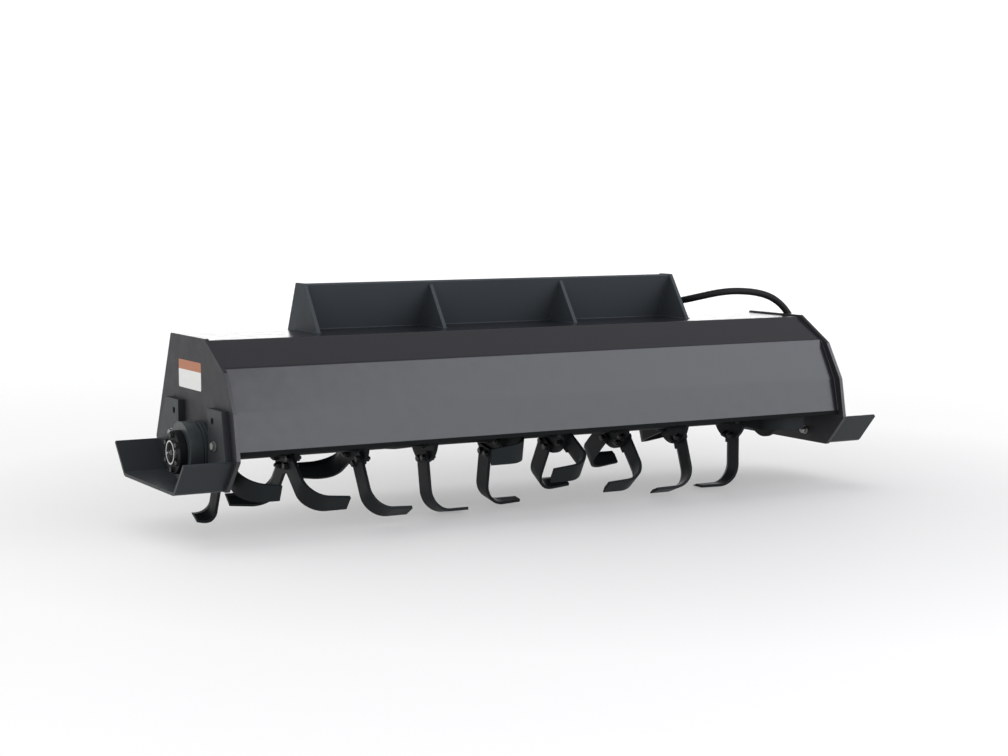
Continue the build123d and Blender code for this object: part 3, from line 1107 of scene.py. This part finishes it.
@dataclass
class Hydraulics:
    """Hose from the motor to the coupler parked on the mount's ear.

    Attributes:
        diameter: outer diameter of the hose.
        length: its length, not used.
        round_steps: steps of the hose's section in a quarter turn.
        line_steps: steps of its line from one control point to the next.
        nut_share: share of the swivel's height that its nut takes.
        route: control points of its line, from the motor's fitting to the coupler.
    """

    diameter: float = 0.020
    length: float = 0.575
    round_steps: int = 6
    line_steps: int = 12
    nut_share: float = 0.42
    route: tuple[Place, ...] = (
        (0.95000, -0.21569, -0.08395),
        (0.95000, -0.21569, -0.02195),
        (0.95286, -0.19869, 0.03705),
        (0.94035, -0.18868, 0.07905),
        (0.91432, -0.18069, 0.11505),
        (0.87748, -0.17469, 0.14005),
        (0.83084, -0.17069, 0.15305),
        (0.78419, -0.16869, 0.15805),
        (0.73789, -0.16368, 0.15905),
        (0.69598, -0.15169, 0.15405),
        (0.66285, -0.12968, 0.14505),
        (0.63649, -0.09569, 0.13505),
        (0.61959, -0.05169, 0.12505),
    )

    def build(self) -> None:
        swivel = self.build_swivel()
        coupler = self.build_coupler()
        hose = self.build_hose()
        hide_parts("hose_fitting")
        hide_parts("hose_coupler")
        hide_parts("hose")

    def build_hose(self) -> bpy.types.Object:
        """Draw the hose as one smooth line.

        Returns:
            The hose.
        """
        curve = bpy.data.curves.new("hose_line", "CURVE")
        curve.dimensions = "3D"
        curve.bevel_depth = self.diameter / 2
        curve.bevel_resolution = self.round_steps
        curve.resolution_u = self.line_steps
        curve.use_fill_caps = True
        spline = curve.splines.new("NURBS")
        spline.points.add(len(self.route) - 1)
        for point, place in zip(spline.points, self.route):
            point.co = (*place, 1.0)
        spline.order_u = 3
        spline.use_endpoint_u = True
        curve.materials.append(HOSE_COVER.material())
        return keep_piece(new_object("hose_line", curve), Body.FRAME)

    def build_swivel(self) -> bpy.types.Object:
        """Turn the swivel nut and crimped ferrule on the motor's port.

        Returns:
            The fitting.
        """
        low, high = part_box("hose_fitting")
        foot = Vector(((low.x + high.x) / 2, (low.y + high.y) / 2, low.z))
        height = high.z - low.z
        nut = self.nut_share * height
        stations = [
            Station(0.0, 0.0155, Section.HEXAGON),
            Station(0.001, 0.0170, Section.HEXAGON),
            Station(nut - 0.001, 0.0170, Section.HEXAGON),
            Station(nut, 0.0155, Section.HEXAGON),
            Station(nut, 0.0105),
            Station(nut + 0.003, 0.0105),
            Station(nut + 0.003, 0.0124),
            Station(nut + 0.005, 0.0130),
            Station(nut + 0.007, 0.0130, Section.CRIMPED),
            Station(height - 0.003, 0.0130, Section.CRIMPED),
            Station(height - 0.002, 0.0130),
            Station(height, 0.0122),
        ]
        piece = TurnedPiece(foot, Vector((0.0, 0.0, 1.0))).build("hose_swivel", stations, ZINC_STEEL)
        return keep_piece(piece, Body.FRAME)

    def build_coupler(self) -> bpy.types.Object:
        """Turn the quick coupler at the hose's far end.

        Returns:
            The coupler.
        """
        before, end = Vector(self.route[-2]), Vector(self.route[-1])
        stations = [
            Station(0.0000, 0.0132),
            Station(0.0010, 0.0140),
            Station(0.0030, 0.0140, Section.CRIMPED),
            Station(0.0200, 0.0140, Section.CRIMPED),
            Station(0.0220, 0.0140),
            Station(0.0220, 0.0150, Section.HEXAGON),
            Station(0.0230, 0.0160, Section.HEXAGON),
            Station(0.0310, 0.0160, Section.HEXAGON),
            Station(0.0320, 0.0150, Section.HEXAGON),
            Station(0.0320, 0.0150),
            Station(0.0335, 0.0150),
            Station(0.0335, 0.0175),
            Station(0.0350, 0.0188),
            Station(0.0370, 0.0188),
            Station(0.0380, 0.0188, Section.RIBBED),
            Station(0.0500, 0.0188, Section.RIBBED),
            Station(0.0510, 0.0188),
            Station(0.0530, 0.0188),
            Station(0.0545, 0.0172),
            Station(0.0545, 0.0155),
            Station(0.0630, 0.0155),
            Station(0.0640, 0.0145),
            Station(0.0640, 0.0095),
            Station(0.0560, 0.0090),
        ]
        piece = TurnedPiece(end, end - before).build("hose_quick_coupler", stations, ZINC_STEEL)
        return keep_piece(piece, Body.FRAME)


@dataclass
class Hood:
    """Bent hood sheet between two end plates.

    Attributes:
        chin: run and rise of the lowest front panel, from the sheet's lower edge.
        face: run and rise of the middle panel.
        brow: run and rise of the upper slope.
        weld_leg: radius of the seam beads.
        sticker_low: lower front corner of the blank sticker, Y and Z.
        sticker_high: upper rear corner of the blank sticker, Y and Z.
        sticker_band: height of its coloured band.
        sticker_corner: radius of its corners.
        corner_steps: straight steps round one corner.
        sticker_thickness: thickness of the film.
        film_colour: colour of the film.
        film_roughness: its roughness.
        band_colour: colour of the band.
    """

    chin: Span = (0.0200, 0.0900)
    face: Span = (0.0610, 0.1055)
    brow: Span = (0.1090, 0.0595)
    weld_leg: float = 0.0025
    sticker_low: Span = (-0.2500, -0.0410)
    sticker_high: Span = (-0.0920, 0.0290)
    sticker_band: float = 0.024
    sticker_corner: float = 0.004
    corner_steps: int = 4
    sticker_thickness: float = 0.0004
    film_colour: Colour = (0.74, 0.74, 0.72)
    film_roughness: float = 0.45
    band_colour: Colour = (0.40, 0.135, 0.050)

    def build(self, tools: Tools) -> None:
        """Lay the seams and put on the sticker.

        Args:
            tools: shared node trees.
        """
        welds = tools.welds.lay("hood_seam_welds", self.seams(), self.weld_leg, HOOD_COAT)
        keep_piece(welds, Body.FRAME)
        self.build_sticker()

    def seams(self) -> list[WeldPath]:
        """Corner lines of the sheet against both end plates.

        Returns:
            One path for each end.
        """
        low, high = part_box("hood_skin")
        paths = []
        for x in (low.x, high.x):
            y, z = low.y, low.z
            points = [Vector((x, y, z))]
            for run, rise in (self.chin, self.face, self.brow):
                y, z = y + run, z + rise
                points.append(Vector((x, y, z)))
            points.append(Vector((x, high.y, z)))
            paths.append(WeldPath(points))
        return paths

    def build_sticker(self) -> None:
        """Make the blank two-tone sticker on the left end plate."""
        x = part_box("end_plate_left")[0].x
        (low_y, low_z), (high_y, high_z) = self.sticker_low, self.sticker_high
        finish = TwoToneSticker(
            "blank_sticker_film",
            self.film_colour,
            self.film_roughness,
            band=self.band_colour,
            band_height=high_z - self.sticker_band,
        )
        outline: list[Span] = []
        inset = self.sticker_corner
        corners = ((high_y, high_z, 0), (low_y, high_z, 1), (low_y, low_z, 2), (high_y, low_z, 3))
        for y, z, quarter in corners:
            centre_y = y - math.copysign(inset, y - (low_y + high_y) / 2)
            centre_z = z - math.copysign(inset, z - (low_z + high_z) / 2)
            for step in range(self.corner_steps + 1):
                angle = (quarter + step / self.corner_steps) * math.pi / 2
                outline.append((centre_y + inset * math.cos(angle), centre_z + inset * math.sin(angle)))
        count = len(outline)
        points = [Vector((x, y, z)) for y, z in outline]
        points += [Vector((x - self.sticker_thickness, y, z)) for y, z in outline]
        faces = [list(range(count)), list(range(count, 2 * count))]
        for number in range(count):
            following = (number + 1) % count
            faces.append([number, following, count + following, count + number])
        keep_piece(mesh_object("blank_sticker", points, faces, finish), Body.FRAME)


@dataclass
class QuickAttach:
    """Sloping mount plate with its ears and gussets on the hood.

    Attributes:
        tilt: lean of the plate in degrees.
        webs: ears and gussets that stand between the plate and the hood's top.
        touch: how far past the plate's ends a web's face may stand and still be welded to it.
        weld_leg: radius of the beads.
    """

    tilt: float = 24.0
    webs: tuple[str, ...] = ("mount_ear_left", "mount_ear_right", "mount_gusset_left", "mount_gusset_right")
    touch: float = 0.0001
    weld_leg: float = 0.0025

    def build(self, tools: Tools) -> None:
        """Lay the welds.

        Args:
            tools: shared node trees.
        """
        foot_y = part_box("mount_gusset_left")[1].y
        paths = self.foot_seams(foot_y) + self.plate_seams(foot_y) + self.bracket_seam()
        keep_piece(tools.welds.lay("mount_welds", paths, self.weld_leg, MOUNT_COAT), Body.FRAME)

    def web_faces(self) -> list[Span]:
        """Side faces of the ears and gussets.

        Returns:
            Each face's X and the Y of its front foot.
        """
        faces = []
        for low, high in map(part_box, self.webs):
            faces += [(low.x, low.y), (high.x, low.y)]
        return faces

    def foot_seams(self, foot_y: float) -> list[WeldPath]:
        """Beads along the feet of the ears and gussets on the hood's top.

        Args:
            foot_y: where the plate's front face meets the hood's top.

        Returns:
            The paths.
        """
        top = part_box("hood_skin")[1].z
        paths = []
        for x, foot in self.web_faces():
            paths.append(WeldPath([Vector((x, foot, top)), Vector((x, foot_y, top))]))
        return paths

    def plate_seams(self, foot_y: float) -> list[WeldPath]:
        """Beads up the plate's front face beside the webs, and along its foot.

        Args:
            foot_y: where that face meets the hood's top.

        Returns:
            The paths.
        """
        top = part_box("hood_skin")[1].z
        low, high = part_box("mount_plate")
        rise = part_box("mount_gusset_left")[1].z - top
        lean = math.tan(math.radians(self.tilt)) * rise
        paths = []
        for x, _ in self.web_faces():
            if low.x - self.touch <= x <= high.x + self.touch:
                foot, head = Vector((x, foot_y, top)), Vector((x, foot_y - lean, top + rise))
                paths.append(WeldPath([foot, head]))
        paths.append(WeldPath([Vector((low.x, foot_y, top)), Vector((high.x, foot_y, top))]))
        return paths

    def bracket_seam(self) -> list[WeldPath]:
        """Bead down the front of the coupler's bracket, on the outside of the right ear.

        Returns:
            The path, in a list.
        """
        low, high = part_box("coupler_bracket")
        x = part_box("mount_ear_right")[1].x
        return [WeldPath([Vector((x, low.y, low.z)), Vector((x, low.y, high.z))])]


@dataclass
class Skids:
    """Bent skid shoes on bolted uprights.

    Attributes:
        upright_gap: between the two uprights of a skid.
        middle: middle of that gap, behind the rotor axis.
        upright_width: width of an upright.
        bolt_drop: height of the lower bolts below an upright's top.
        shoe_thickness: thickness of the shoe's plate.
        sole_front: front end of the flat sole.
        sole_rear: rear end of the flat sole.
        weld_leg: radius of the beads.
    """

    upright_gap: float = 0.208
    middle: float = 0.008
    upright_width: float = 0.093
    bolt_drop: float = 0.088
    shoe_thickness: float = 0.008
    sole_front: float = -0.3817
    sole_rear: float = -0.0257
    weld_leg: float = 0.0045

    def build(self, tools: Tools) -> None:
        """Bolt the uprights on and weld them to the shoes.

        Args:
            tools: shared node trees.
        """
        outside = [seat for side in Side for seat in self.seats(side, True)]
        inside = [seat for side in Side for seat in self.seats(side, False)]
        keep_piece(tools.heads.set_on("skid_bolts", outside, M12_HEAD, ZINC_STEEL), Body.FRAME)
        keep_piece(tools.nuts.set_on("skid_nuts", inside, M12_NUT, ZINC_STEEL), Body.FRAME)
        paths = [path for side in Side for path in self.seams(side)]
        keep_piece(tools.welds.lay("skid_welds", paths, self.weld_leg, SKID_COAT), Body.FRAME)

    def seats(self, side: Side, outside: bool) -> list[Seat]:
        """Seats of the two lower bolts of a skid.

        Args:
            side: end of the machine.
            outside: heads on the uprights, or nuts on the end plate's inner face.

        Returns:
            The front and rear seats.
        """
        name = side.name.lower()
        node = f"skid_uprights_{name}" if outside else f"end_plate_{name}"
        low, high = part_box(node)
        far = (side is Side.RIGHT) == outside
        x = high.x if far else low.x
        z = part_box(f"skid_uprights_{name}")[1].z - self.bolt_drop
        facing = ACROSS * (1.0 if far else -1.0)
        offset = self.upright_gap / 2 + self.upright_width / 2
        middle = ROTOR_CENTRE.y + self.middle
        return [Seat(Vector((x, middle + way * offset, z)), facing) for way in (-1, 1)]

    def seams(self, side: Side) -> list[WeldPath]:
        """Beads along the uprights' feet on the shoe, on the outer face.

        Args:
            side: end of the machine.

        Returns:
            The front and rear paths.
        """
        name = side.name.lower()
        low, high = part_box(f"skid_uprights_{name}")
        x = low.x if side is Side.LEFT else high.x
        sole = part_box(f"skid_shoe_{name}")[0].z + self.shoe_thickness
        middle, half = ROTOR_CENTRE.y + self.middle, self.upright_gap / 2
        front = [Vector((x, self.sole_front, sole)), Vector((x, middle - half, sole))]
        rear = [Vector((x, middle + half, sole)), Vector((x, self.sole_rear, sole))]
        return [WeldPath(front), WeldPath(rear)]


@dataclass
class BearingEnd:
    """Bearing at the left end of the rotor.

    Attributes:
        bolt_circle: radius of the cap's bolt circle.
        bolt_count: bolts in the cap.
    """

    bolt_circle: float = 0.043
    bolt_count: int = 6

    def build(self, tools: Tools) -> None:
        """Bolt the cap on and screw the grease nipple in.

        Args:
            tools: shared node trees.
        """
        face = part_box("bearing_cap")[0].x
        centre = Vector((face, ROTOR_CENTRE.y, ROTOR_CENTRE.z))
        seats = [Seat(point, -ACROSS) for point in ring_points(centre, self.bolt_circle, self.bolt_count)]
        bolts = tools.heads.set_on("bearing_cap_bolts", seats, M8_HEAD, BLACK_STEEL)
        keep_piece(bolts, Body.FRAME)
        stations = [
            Station(0.0, 0.0060, Section.HEXAGON),
            Station(0.0045, 0.0060, Section.HEXAGON),
            Station(0.0045, 0.0036),
            Station(0.0090, 0.0034),
            Station(0.0100, 0.0022),
            Station(0.0115, 0.0022),
            Station(0.0125, 0.0031),
            Station(0.0140, 0.0031),
            Station(0.0150, 0.0018),
        ]
        nipple = TurnedPiece(centre, -ACROSS).build("grease_nipple", stations, ZINC_STEEL)
        keep_piece(nipple, Body.FRAME)


@dataclass
class MotorEnd:
    """Hydraulic motor at the right end of the rotor.

    Attributes:
        flange_bolt: offset of a flange bolt from the rotor axis, front to rear and up.
        cover_circle: radius of the end cover's bolt circle.
        cover_count: bolts in the end cover.
    """

    flange_bolt: Span = (0.074, 0.052)
    cover_circle: float = 0.038
    cover_count: int = 7

    def build(self, tools: Tools) -> None:
        """Bolt the flange and the end cover on.

        Args:
            tools: shared node trees.
        """
        bolts = tools.heads.set_on("motor_flange_bolts", self.seats(True), M12_HEAD, ZINC_STEEL)
        keep_piece(bolts, Body.FRAME)
        nuts = tools.nuts.set_on("motor_flange_nuts", self.seats(False), M12_NUT, ZINC_STEEL)
        keep_piece(nuts, Body.FRAME)
        cover = Vector((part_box("motor_cover")[1].x, ROTOR_CENTRE.y, ROTOR_CENTRE.z))
        seats = [Seat(point, ACROSS) for point in ring_points(cover, self.cover_circle, self.cover_count)]
        bolts = tools.heads.set_on("motor_cover_bolts", seats, M8_HEAD, BLACK_STEEL)
        keep_piece(bolts, Body.FRAME)

    def seats(self, outside: bool) -> list[Seat]:
        """Seats of the flange's four bolts.

        Args:
            outside: heads on the flange, or nuts on the end plate's inner face.

        Returns:
            The seats.
        """
        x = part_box("motor_flange")[1].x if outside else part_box("end_plate_right")[0].x
        across, up = self.flange_bolt
        facing = ACROSS if outside else -ACROSS
        seats = []
        for y in (-across, across):
            for z in (-up, up):
                seats.append(Seat(Vector((x, ROTOR_CENTRE.y + y, ROTOR_CENTRE.z + z)), facing))
        return seats


@dataclass
class Tine:
    """One tine on its flange: the flange's X, the side it bends to and its angle from straight down."""

    x: float
    hand: Side
    angle: float


@dataclass
class TineRotor:
    """Rotor tube with flanges of bolted tines in a helix.

    Attributes:
        flange_count: flanges of the rotor, with the two at its ends.
        tine_reach: sideways reach of a tine from the middle of its flange.
        flange_thickness: thickness of a flange.
        tine_thickness: thickness of a tine's root.
        first_angle: angle of the first flange's right-hand tine, from straight down.
        helix_angle: turn from each flange to the next.
        end_angle_left: angle of the left end flange's inward tines.
        end_angles_right: angles of the right end flange's tines.
        end_reach_left: sideways reach of the left end flange's outward tines.
        end_reach_right: sideways reach of the right end flange's tines.
        bolt_radius: distance of the bolts from the rotor axis.
        bolt_places: their places across the tine, from its middle.
        weld_leg: radius of the flange beads.
        weld_points: points of the ring that a flange bead follows.
    """

    flange_count: int = 10
    tine_reach: float = 0.105
    flange_thickness: float = 0.010
    tine_thickness: float = 0.008
    first_angle: float = -50.0
    helix_angle: float = 20.0
    end_angle_left: float = -65.0
    end_angles_right: Span = (90.0, -100.0)
    end_reach_left: float = 0.032
    end_reach_right: float = 0.087
    bolt_radius: float = 0.060
    bolt_places: Span = (-0.0140, 0.0140)
    weld_leg: float = 0.0045
    weld_points: int = 48

    def build(self, tools: Tools) -> None:
        """Bolt the tines on and weld the flanges to the tube.

        Args:
            tools: shared node trees.
        """
        tines = self.tines()
        heads = [seat for tine in tines for seat in self.seats(tine, True)]
        nuts = [seat for tine in tines for seat in self.seats(tine, False)]
        keep_piece(tools.heads.set_on("tine_bolts", heads, M10_HEAD, BLACK_STEEL), Body.ROTOR)
        keep_piece(tools.nuts.set_on("tine_nuts", nuts, M10_NUT, BLACK_STEEL), Body.ROTOR)
        welds = tools.welds.lay("flange_welds", self.seams(tines), self.weld_leg, ROTOR_COAT)
        keep_piece(welds, Body.ROTOR)

    def tines(self) -> list[Tine]:
        """Every tine of the rotor.

        Returns:
            The tines, flange by flange.
        """
        first, *middle, last = [f"tine_set_{number:02d}" for number in range(1, self.flange_count + 1)]
        left_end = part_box(first)[0].x + self.end_reach_left
        right_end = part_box(last)[1].x - self.end_reach_right
        tines = self.four_tines(left_end, self.end_angle_left)
        tines += [Tine(right_end, Side.RIGHT, angle) for angle in self.end_angles_right]
        for index, name in enumerate(middle):
            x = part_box(name)[1].x - self.tine_reach
            tines += self.four_tines(x, self.first_angle + index * self.helix_angle)
        return tines

    @staticmethod
    def four_tines(x: float, angle: float) -> list[Tine]:
        """Two right-hand tines of a flange and the two left-hand ones between them.

        Args:
            x: middle of the flange.
            angle: angle of a right-hand tine from straight down.

        Returns:
            The four tines.
        """
        tines = [Tine(x, Side.RIGHT, angle + turn) for turn in (0.0, 180.0)]
        return tines + [Tine(x, Side.LEFT, angle + turn) for turn in (90.0, -90.0)]

    def seats(self, tine: Tine, on_tine: bool) -> list[Seat]:
        """Seats of a tine's two bolts.

        Args:
            tine: the tine.
            on_tine: heads on the tine, which sits on the flange's far side from its blade, or nuts on
                the near side.

        Returns:
            The two seats.
        """
        angle = math.radians(tine.angle)
        outwards = Vector((0.0, math.sin(angle), -math.cos(angle)))
        leading = Vector((0.0, math.cos(angle), math.sin(angle)))
        half = self.flange_thickness / 2
        offset = -half - self.tine_thickness if on_tine else half
        facing = ACROSS * tine.hand.value * (-1.0 if on_tine else 1.0)
        root = Vector((tine.x, ROTOR_CENTRE.y, ROTOR_CENTRE.z)) + ACROSS * tine.hand.value * offset
        middle = root + outwards * self.bolt_radius
        return [Seat(middle + leading * place, facing) for place in self.bolt_places]

    def seams(self, tines: Sequence[Tine]) -> list[WeldPath]:
        """Rings where the flanges meet the tube.

        Args:
            tines: the rotor's tines.

        Returns:
            Two rings for each flange.
        """
        low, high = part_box("rotor_tube")
        radius = (high.z - low.z) / 2
        paths = []
        for x in sorted({round(tine.x, 5) for tine in tines}):
            for face in (-self.flange_thickness / 2, self.flange_thickness / 2):
                centre = Vector((x + face, ROTOR_CENTRE.y, ROTOR_CENTRE.z))
                paths.append(WeldPath(ring_points(centre, radius, self.weld_points), True))
        return paths


# Studio


@dataclass(frozen=True)
class SkyPanel:
    """Even light from one side of the sky, the same all over the floor and not mirrored in the paint.

    Attributes:
        name: name of the light.
        towards: direction that its light travels in.
        spread: angle that it fills, in degrees.
        strength: light on a surface that faces it.
    """

    name: str
    towards: Place
    spread: float
    strength: float

    def build(self) -> None:
        """Hang the light."""
        data = bpy.data.lights.new(self.name, "SUN")
        data.angle = math.radians(self.spread)
        data.energy = self.strength
        light = new_object(self.name, data)
        light.visible_glossy = False
        light.rotation_euler = Vector(self.towards).to_track_quat("-Z", "Y").to_euler()


@dataclass(frozen=True)
class Softbox:
    """Rectangular studio light.

    Attributes:
        name: name of the light.
        centre: where it stands.
        aim: point that it faces.
        width: its width in metres.
        height: its height in metres.
        radiance: brightness of its face.
        colour: tint of its light.
    """

    name: str
    centre: Place
    aim: Place
    width: float
    height: float
    radiance: float
    colour: Colour = (0.97, 0.99, 1.05)

    def build(self) -> None:
        """Hang the light."""
        data = bpy.data.lights.new(self.name, "AREA")
        data.shape = "RECTANGLE"
        data.size, data.size_y = self.width, self.height
        data.energy = self.radiance * math.pi * self.width * self.height
        data.color = self.colour
        light = new_object(self.name, data)
        light.location = self.centre
        light.rotation_euler = (Vector(self.aim) - Vector(self.centre)).to_track_quat("-Z", "Y").to_euler()


@dataclass
class Studio:
    """Pale floor, soft light and the photograph's camera.

    Attributes:
        floor_reach: half the floor's width.
        floor_gap: floor below the lowest tine.
        horizon: brightness of the surroundings at eye level.
        zenith: brightness overhead.
        dome_heights: heights of direction between which the horizon fades to the zenith.
        backdrop: brightness of the backdrop behind the machine.
        backdrop_facing: direction to its middle.
        backdrop_edge: cosines of the angles from there between which it begins and is full.
        backdrop_heights: heights of direction between which it fades out upwards.
        camera_place: where the camera stands.
        camera_turn: its Euler angles in degrees.
        sensor: width of its sensor in millimetres.
        lens: its focal length in millimetres.
        lights: what lights the machine and the floor.
    """

    floor_reach: float = 30.0
    floor_gap: float = 0.0005
    horizon: float = 1.02
    zenith: float = 0.32
    dome_heights: Span = (0.03, 0.34)
    backdrop: float = 2.2
    backdrop_facing: Place = (0.489, 0.872, 0.0)
    backdrop_edge: Span = (0.76, 0.92)
    backdrop_heights: Span = (0.17, 0.36)
    camera_place: Place = (-2.5652, -4.71929, 0.45915)
    camera_turn: Place = (84.341, 0.0, -29.253)
    sensor: float = 36.0
    lens: float = 68.75
    lights: tuple[Softbox | SkyPanel, ...] = (
        Softbox("front_bank", (3.2, -4.4, 3.0), (0.0, -0.3, 0.0), 7.0, 5.5, 2.90),
        Softbox("fill_bank", (-4.2, -4.2, 2.8), (0.0, -0.3, 0.0), 4.5, 4.0, 1.50),
        SkyPanel("overhead_panel", (0.16, -0.45, -1.0), 74.0, 2.45),
    )

    def build_camera(self) -> None:
        """Set up the camera."""
        data = bpy.data.cameras.new("photo_camera")
        data.sensor_width = self.sensor
        data.lens = self.lens
        camera = new_object("photo_camera", data)
        camera.location = self.camera_place
        camera.rotation_euler = tuple(math.radians(angle) for angle in self.camera_turn)
        bpy.context.scene.camera = camera

    def build(self) -> None:
        """Lay the floor and set the light."""
        self.build_floor()
        self.build_sky()
        for light in self.lights:
            light.build()
        bpy.context.scene.view_settings.view_transform = "Standard"

    def build_floor(self) -> None:
        """Lay the floor under the lowest tine."""
        reach, z = self.floor_reach, CAD_BOX[0].z - self.floor_gap
        corners = [Vector((x * reach, y * reach, z)) for x, y in ((-1, -1), (1, -1), (1, 1), (-1, 1))]
        floor = mesh_object("studio_floor", corners, [[0, 1, 2, 3]], FLOOR_PAINT)

    def build_sky(self) -> None:
        """Paint the surroundings: pale all round, dim overhead, brighter behind the machine."""
        world = bpy.data.worlds.new("studio_surroundings")
        world.use_nodes = True
        bpy.context.scene.world = world
        graph = NodeGraph(world.node_tree)
        direction = graph.node("ShaderNodeTexCoord").outputs["Generated"]
        height = graph.along(direction, "Z")
        facing = graph.measure("DOT_PRODUCT", direction, self.backdrop_facing)
        around = graph.between(height, (self.horizon, self.zenith), self.dome_heights, smooth=True)
        width = graph.between(facing, (0.0, 1.0), self.backdrop_edge, smooth=True)
        rise = graph.between(height, (1.0, 0.0), self.backdrop_heights, smooth=True)
        share = graph.math("MULTIPLY", width, rise)
        strength = graph.result("ShaderNodeMix", {0: share, 2: around, 3: self.backdrop})
        background = graph.tree.nodes["Background"]
        graph.feed(background.inputs["Strength"], strength)
        graph.feed(background.inputs["Color"], WHITE)


def dress_nodes() -> None:
    """Give every CAD node its own finish or the finish of its slot."""
    for part in frame["record"]["subparts"]:
        node = frame["nodes"][part["node"]]
        finish = OWN_FINISHES.get(part["node"], NODE_FINISHES[Slot(part["material_slot"])])
        node.data.materials.clear()
        node.data.materials.append(finish.material())
        log.info("%s dressed in %s", node.name, finish.name)


def main() -> None:
    """Build every sub-assembly in order."""
    logging.basicConfig(level=logging.INFO, format="%(message)s")
    studio = Studio()
    studio.build_camera()
    Hydraulics().build()
    dress_nodes()
    tools = Tools(FastenerTree(threaded=False), FastenerTree(threaded=True), WeldTree())
    for assembly in (Hood(), QuickAttach(), Skids(), BearingEnd(), MotorEnd(), TineRotor()):
        assembly.build(tools)
    studio.build()


if __name__ == "__main__":
    main()
